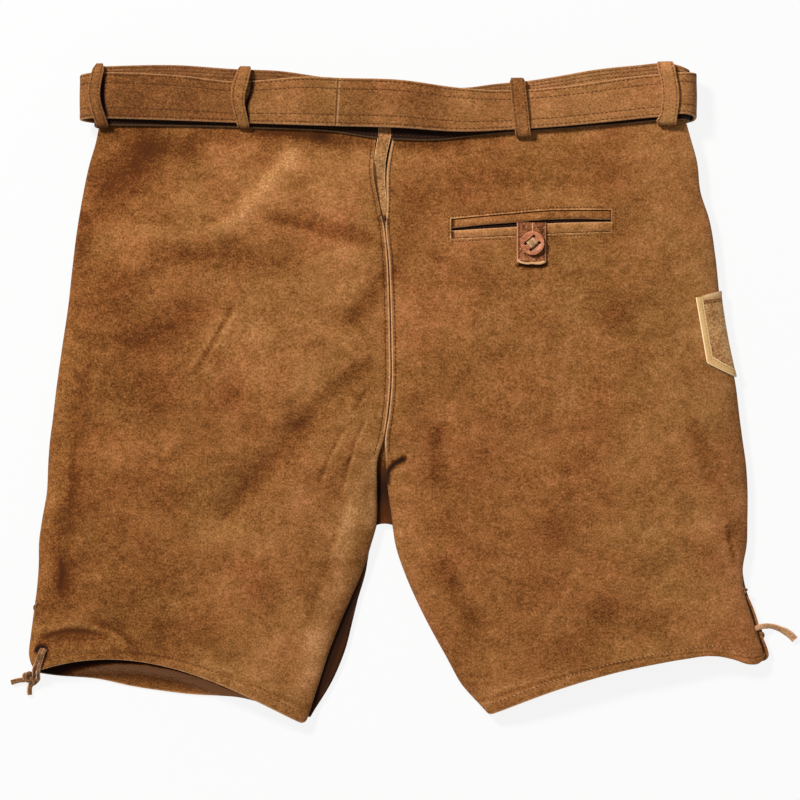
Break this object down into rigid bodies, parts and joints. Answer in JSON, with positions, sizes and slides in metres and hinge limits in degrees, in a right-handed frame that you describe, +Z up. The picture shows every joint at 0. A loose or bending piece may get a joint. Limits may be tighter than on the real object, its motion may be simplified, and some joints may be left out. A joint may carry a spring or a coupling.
{
  "type": "lederhosen",
  "caption": "Short suede leather breeches laid flat with the back up, with a belt, belt loops, a buttoned back pocket, a knife pocket and laced hems.",
  "frame": {"origin": "the middle of the garment on the surface that it lies on, laces aside", "axes": "+Z up from the surface; +Y from the hems to the waist; +X towards the wearer's right side; the back faces up"},
  "size_m": [0.609, 0.5074, 0.0331],
  "materials": {
    "suede": "brown split suede, mottled, matt",
    "belt_suede": "brown suede, two layers stitched, pale cut edges",
    "pale_suede": "sandy suede, rough side out",
    "red_suede": "reddish brown suede with pale cut edges",
    "binding": "light tan smooth leather",
    "horn": "orange tan horn, part polished",
    "lace": "brown lace with pale cut sides",
    "brass": "plain, brushed"
  },
  "bodies": {
    "root": {"back_left": "suede", "back_right": "suede", "front_left": "suede", "front_right": "suede", "waistband_left": "suede", "waistband_right": "suede", "centre_back_gore": "pale_suede", "crotch_strip": "suede", "front_flap": "suede", "flap_button_left": "horn", "flap_button_right": "horn", "belt": "belt_suede", "belt_eye": "belt_suede", "buckle_frame": "brass", "buckle_prong": "brass", "back_loop_1": "belt_suede", "back_loop_2": "belt_suede", "back_loop_3": "belt_suede", "back_loop_4": "belt_suede", "front_loop_left": "belt_suede", "front_loop_right": "belt_suede", "pocket_welt_upper": "suede", "pocket_welt_lower": "suede", "pocket_bag": "suede", "pocket_tab": "red_suede", "pocket_button": "horn", "button_thong": "pale_suede", "knife_pocket": "pale_suede", "knife_binding": "binding", "lace_left_long": "lace", "lace_left_short": "lace", "lace_left_knot": "lace", "lace_right": "lace", "lace_right_knot": "lace", "vent_knot_left": "lace", "vent_knot_right": "lace"}
  },
  "joints": []
}
